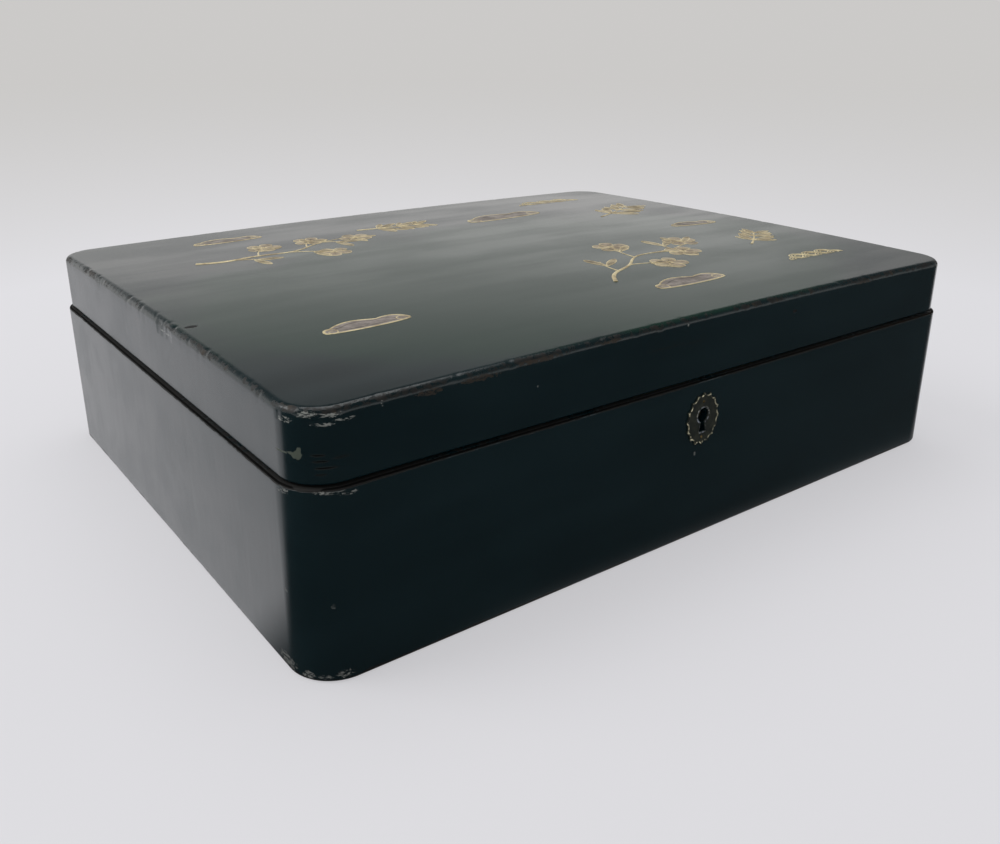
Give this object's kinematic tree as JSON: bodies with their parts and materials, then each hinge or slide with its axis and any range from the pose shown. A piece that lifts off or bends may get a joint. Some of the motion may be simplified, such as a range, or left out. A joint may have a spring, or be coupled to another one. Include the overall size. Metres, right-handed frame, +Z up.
{
  "type": "deed box",
  "caption": "Lacquered wooden deed box with rounded corners, a hinged crowned lid, stopped butt hinges, a box lock and a scalloped keyhole plate.",
  "frame": {"origin": "middle of the underside", "axes": "+X along the front to the right as seen from the front, +Y from front to back, +Z up"},
  "size_m": [0.3, 0.2383, 0.0832],
  "materials": {
    "lacquer": "dark blue-green lacquer, satin gloss, worn at the edges",
    "inner_lacquer": "dull dark lacquer",
    "gold": "raised gold lacquer",
    "brass": "aged, rubbed",
    "tarnished_brass": "tarnished, with a rubbed border",
    "steel": "filed, dull"
  },
  "bodies": {
    "base": {"base_front": "lacquer", "base_back": "lacquer", "base_left": "lacquer", "base_right": "lacquer", "base_bottom": "inner_lacquer", "hinge_left_base_leaf": "brass", "hinge_left_pin": "brass", "hinge_right_base_leaf": "brass", "hinge_right_pin": "brass", "hinge_base_screws": "brass", "lock_plate": "brass", "lock_case": "brass", "lock_spring": "steel", "lock_screws": "steel", "escutcheon": "tarnished_brass", "escutcheon_pins": "tarnished_brass"},
    "lid": {"lid_front": "lacquer", "lid_back": "lacquer", "lid_left": "lacquer", "lid_right": "lacquer", "lid_top": "lacquer", "hinge_left_lid_leaf": "brass", "hinge_right_lid_leaf": "brass", "hinge_lid_screws": "brass", "link_plate": "brass", "link_screws": "brass"},
    "lock_bolt": {"lock_bolt": "steel"}
  },
  "joints": [
    {"name": "lid_hinge", "type": "hinge", "parent": "base", "child": "lid", "pos_m": [0, 0.1188, 0.05925], "axis": [-1, 0, 0], "range_deg": [0, 98]},
    {"name": "bolt_throw", "type": "slide", "parent": "base", "child": "lock_bolt", "axis": [1, 0, 0], "range_m": [0, 0.0045]}
  ]
}
